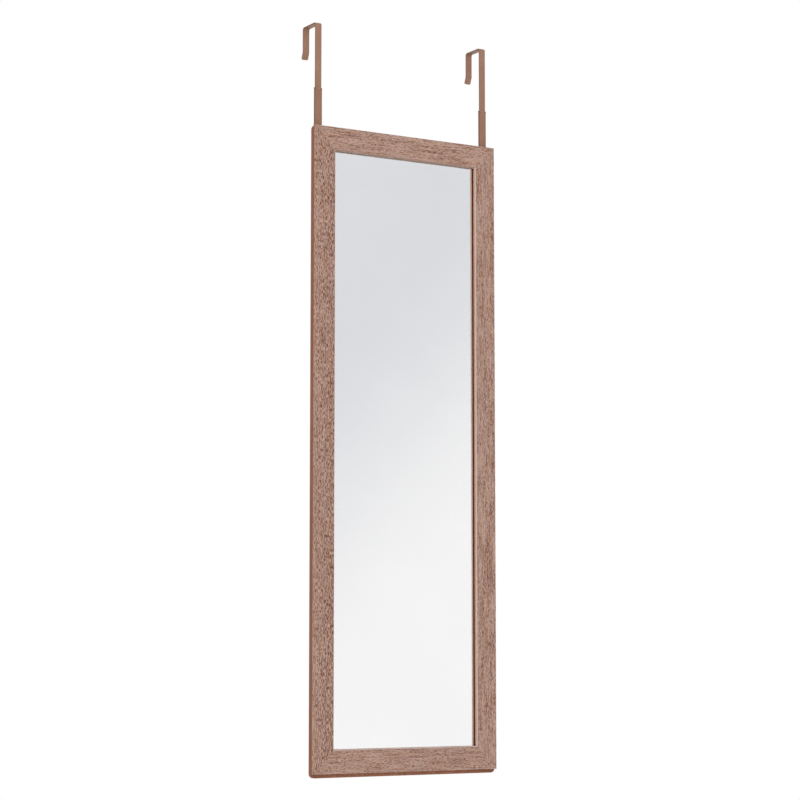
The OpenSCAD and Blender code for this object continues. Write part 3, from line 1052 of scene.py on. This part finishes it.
def clamp_screw(name):
    screw = start_disc(name, (hook_x, under_head, clamp_z), clamp_head_r, clamp_head_t, corners=48)
    edit(screw)
    pick(screw, "EDGE", rim_at(clamp_high.y))
    bpy.ops.mesh.bevel(offset=clamp_round, segments=3, affect="EDGES")
    pick(screw, "FACE", lambda f: f.normal.y < -0.9)
    bpy.ops.mesh.inset(thickness=clamp_head_r - clamp_r, depth=0)
    extrude(0, clamp_low.y - under_head, 0)
    leave_edit()
    key = start_disc("key", (hook_x, clamp_high.y - socket_deep, clamp_z), socket_r,
                     socket_cutter, corners=6)
    cut_away(screw, key)
    tidy_mesh(screw)
    return screw


right_clamp = clamp_screw("right_clamp_screw")
left_clamp = mirrored(right_clamp, "left_clamp_screw")
hand_over(right_clamp, zinc, "zinc", "mirror", "clamp_screw_right")
hand_over(left_clamp, zinc, "zinc", "mirror", "clamp_screw_left")

# %% [markdown]
# ## The hooks
# A hook is one flat steel strap bent over the door. A bevelled curve could draw it too, but it
# would pinch in the tight bends. Instead a thin plane makes the front leg, and Spin sweeps its
# top edge round each bend. Extrusions between the bends make the bridge over the door and the
# rear leg, and a last small spin flares the tip. Solidify makes it 2 mm thick, the long slot is
# cut out for the clamp screw, and all arrises are rounded. The slot is as long as the hook
# travels, and the clamp screw stands where its ends have to come.

# %% Sizes of the strap
strap_t = 2 * MM
front_y = web_inside + 0.05 * MM
rear_inside = 45 * MM
rear_reach = 60 * MM
bend_in = 3 * MM
bend_out = bend_in + strap_t
tip_angle = math.radians(22)
tip_len, tip_bend_in, tip_bend_out = 13 * MM, 6 * MM, 8 * MM
tip_z = -rear_reach + tip_len * math.cos(tip_angle) + tip_bend_out * math.sin(tip_angle)
strap_corner = 2.5 * MM
print("room for the door:", round((rear_inside - front_y - strap_t) / MM, 2), "mm")


# %% Bend the strap
def edge_at(strap, y, z):
    """Select the strap's cross edge at a place."""
    pick(strap, "EDGE", lambda e: runs(e, X) and near(middle(e).y, y) and near(middle(e).z, z))


def bend(strap, y, z, centre_y, centre_z, degrees, steps):
    """Sweep a cross edge round a bend, seen from the right with plus degrees clockwise."""
    edge_at(strap, y, z)
    bpy.ops.mesh.spin(steps=steps, angle=math.radians(degrees),
                      center=(hook_x, centre_y, centre_z), axis=(1, 0, 0))


def make_hook(name):
    leg_len = -bend_in - hook_low.z
    strap = start_sheet(name, (hook_x, front_y, hook_low.z + leg_len / 2), strap_w, leg_len)
    edit(strap)
    first_centre = front_y + bend_out
    last_centre = rear_inside - bend_in
    bend(strap, front_y, -bend_in, first_centre, -bend_in, 90, 12)
    edge_at(strap, first_centre, strap_t)
    extrude(0, last_centre - first_centre, 0)
    bend(strap, last_centre, strap_t, last_centre, -bend_in, 90, 12)
    rear_y = rear_inside + strap_t
    edge_at(strap, rear_y, -bend_in)
    extrude(0, 0, tip_z + bend_in)
    bend(strap, rear_y, tip_z, rear_y + tip_bend_in, tip_z, -math.degrees(tip_angle), 6)
    end_y = rear_y + tip_bend_in * (1 - math.cos(tip_angle))
    end_z = tip_z - tip_bend_in * math.sin(tip_angle)
    edge_at(strap, end_y, end_z)
    extrude(0, tip_len * math.sin(tip_angle), -tip_len * math.cos(tip_angle))
    lowest = end_z - tip_len * math.cos(tip_angle)
    pick(strap, "VERT", lambda v: near(v.co.z, hook_low.z)
         or (near(v.co.z, lowest) and v.co.y > rear_inside))
    bpy.ops.mesh.bevel(offset=strap_corner, segments=6, affect="VERTICES")
    face_normals_to_front(strap, front_y)
    leave_edit()
    modify(strap, "SOLIDIFY", thickness=strap_t, offset=-1, use_even_offset=True)
    return strap


# %% Slot, and both hooks
travel_up, travel_down, travel_spare = 45 * MM, 50 * MM, 0.3 * MM
slot_r = 2.2 * MM
slot_top = clamp_z + travel_down + travel_spare
slot_bottom = clamp_z - travel_up - travel_spare
print("slot from", round(slot_bottom / MM, 1), "to", round(slot_top / MM, 1), "mm")


def cut_slot(strap):
    """The long slot in which the clamp screw travels, with round ends."""
    cutter = start_block("cutter",
                         (hook_x - slot_r, front_y - cutter_spare, slot_bottom - slot_r),
                         (hook_x + slot_r, front_y + strap_t + cutter_spare, slot_top + slot_r))
    edit(cutter)
    pick(cutter, "EDGE", lambda e: runs(e, Y))
    # A hair under half the width, so that the two round corners of an end don't meet
    bpy.ops.mesh.bevel(offset=slot_r - 0.01 * MM, segments=8, affect="EDGES")
    leave_edit()
    cut_away(strap, cutter)


right_hook = make_hook("right_strap")
cut_slot(right_hook)
soften(right_hook, 0.3 * MM, segments=3)
tidy_mesh(right_hook)
left_hook = mirrored(right_hook, "left_strap")
hand_over(right_hook, hook_coat, "hook_paint", "right_hook", "hook_right")
hand_over(left_hook, hook_coat, "hook_paint", "left_hook", "hook_left")

# %% [markdown]
# ## Bumpers
# Two soft pads keep the frame parallel to the door. Each is moulded rubber with a rounded rim
# and a ring pressed into its face. The ring could be cut out with a second shape. Insets and a
# small sink make it in the same skin, which stays closed.

# %% Finish: rubber
def make_rubber():
    finish, tree, shader = new_finish("rubber")
    place = object_place(tree)
    dust = speckle(tree, place, scale=240, detail=4)
    dress(tree, shader,
          Base_Color=blend_colours(tree, dust, colour(58, 50, 46), colour(76, 68, 63)),
          Roughness=speckle(tree, place, scale=700, low=0.68, high=0.84))
    bump(tree, shader, speckle(tree, place, scale=1400, detail=2), 0.04 * MM)
    return finish


rubber = make_rubber()

# %% Bumper pads
pad_low, pad_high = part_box("bumper_right")
pad_r = (pad_high.x - pad_low.x) / 2
pad_place = ((pad_low.x + pad_high.x) / 2, pad_low.y, (pad_low.z + pad_high.z) / 2)
pad_round = 0.9 * MM
# Insets from the rim inwards, each with its rise: flat, down into the ring, its floor, up again
ring = ((2.4 * MM, 0), (0.25 * MM, -0.35 * MM), (1.1 * MM, 0), (0.25 * MM, 0.35 * MM))
right_pad = start_disc("right_bumper", pad_place, pad_r, pad_high.y - pad_low.y, corners=96)
edit(right_pad)
pick(right_pad, "EDGE", rim_at(pad_high.y))
bpy.ops.mesh.bevel(offset=pad_round, segments=5, affect="EDGES")
pick(right_pad, "FACE", lambda f: f.normal.y > 0.99)
for width, rise in ring:
    bpy.ops.mesh.inset(thickness=width, depth=rise)
leave_edit()
tidy_mesh(right_pad)
left_pad = mirrored(right_pad, "left_bumper")
hand_over(right_pad, rubber, "bumper", "mirror", "bumper_right")
hand_over(left_pad, rubber, "bumper", "mirror", "bumper_left")

# %% [markdown]
# ## Floor, light and background
# A plain white room. The floor lies where the foot of the door would be, so it stays out of
# the photograph's frame and still catches a soft shadow in other views. The background is
# white for the camera. A room could be built for the mirror to reflect, but reflections can
# have a sky of their own: a pale grey one that brightens downwards, because the mirror in the
# photograph shows just that, a soft slanting ramp from cool grey to near white.

# %% Colours as written, and the floor
bpy.context.scene.view_settings.view_transform = "Standard"
floor_finish, tree, shader = new_finish("floor", Roughness=0.9, Specular_IOR_Level=0.2)
specks = speckle(tree, object_place(tree), scale=6, detail=3)
dress(tree, shader,
      Base_Color=blend_colours(tree, specks, colour(249, 249, 249), colour(252, 252, 252)))
floor_z, floor_size = -2.03, 6
bpy.ops.object.select_all(action="DESELECT")
bpy.ops.mesh.primitive_plane_add(size=floor_size, location=(0, 0, floor_z))
floor = settle("floor")
floor.data.materials.append(floor_finish)
print("floor:", floor_size, "m wide at z =", floor_z)

# %% World
world = bpy.data.worlds.new("studio")
bpy.context.scene.world = world
world.use_nodes = True
tree = world.node_tree
tree.nodes.clear()
white = colour(255, 255, 255)
soft_light = 0.62
# Glass and silver give back about this share of the light, so the sky is brighter by as much
mirror_share = 0.94
# The ramp from grey to near white runs along a slanting way through the mirrored directions
ramp_start, ramp_way = 0.747, (5.184, 2.792, -6.273)
direction = add(tree, "TexCoord").outputs["Generated"]
slope = add(tree, "VectorMath", {0: direction, 1: ramp_way}, operation="DOT_PRODUCT")
ramp = add(tree, "MapRange", {"Value": calculate(tree, "ADD", slope.outputs["Value"], ramp_start)},
           interpolation_type="SMOOTHSTEP").outputs["Result"]
sky = blend_colours(tree, ramp, colour(219, 220, 224, 1 / mirror_share),
                    colour(245, 245, 245, 1 / mirror_share))
ray = add(tree, "LightPath").outputs
sharp = calculate(tree, "MAXIMUM", ray["Is Glossy Ray"], ray["Is Transmission Ray"])
diffuse_light = add(tree, "Background", {"Color": white, "Strength": soft_light})
reflected = add(tree, "Background", {"Color": sky, "Strength": 1.0})
backdrop = add(tree, "Background", {"Color": white, "Strength": 1.0})
lit = add(tree, "MixShader", {0: sharp, 1: diffuse_light.outputs[0], 2: reflected.outputs[0]})
seen = add(tree, "MixShader",
           {0: ray["Is Camera Ray"], 1: lit.outputs[0], 2: backdrop.outputs[0]})
add(tree, "OutputWorld", {"Surface": seen.outputs[0]})
print("world: soft light", soft_light, "and", len(tree.nodes), "nodes")


# %% Lamps
def lamp(name, place, aim, size, power):
    """A square soft lamp that shines on a point. Reflections don't see it."""
    bpy.ops.object.select_all(action="DESELECT")
    bpy.ops.object.light_add(type="AREA", location=place)
    made = bpy.context.active_object
    made.name = name
    made.rotation_euler = (Vector(aim) - Vector(place)).to_track_quat("-Z", "Y").to_euler()
    made.data.shape = "SQUARE"
    made.data.size = size
    made.data.energy = power
    made.visible_glossy = False
    made.visible_transmission = False
    print(f"{name}: {size} m, {power} W")


mirror_middle = (0, 0, frame_mid)
lamp("key_lamp", (-2.6, -2.2, 0.9), mirror_middle, size=1.6, power=62)
lamp("fill_lamp", (2.8, -3.0, -0.4), mirror_middle, size=2.0, power=26)
lamp("back_lamp", (1.2, 3.0, 0.6), mirror_middle, size=2.0, power=60)
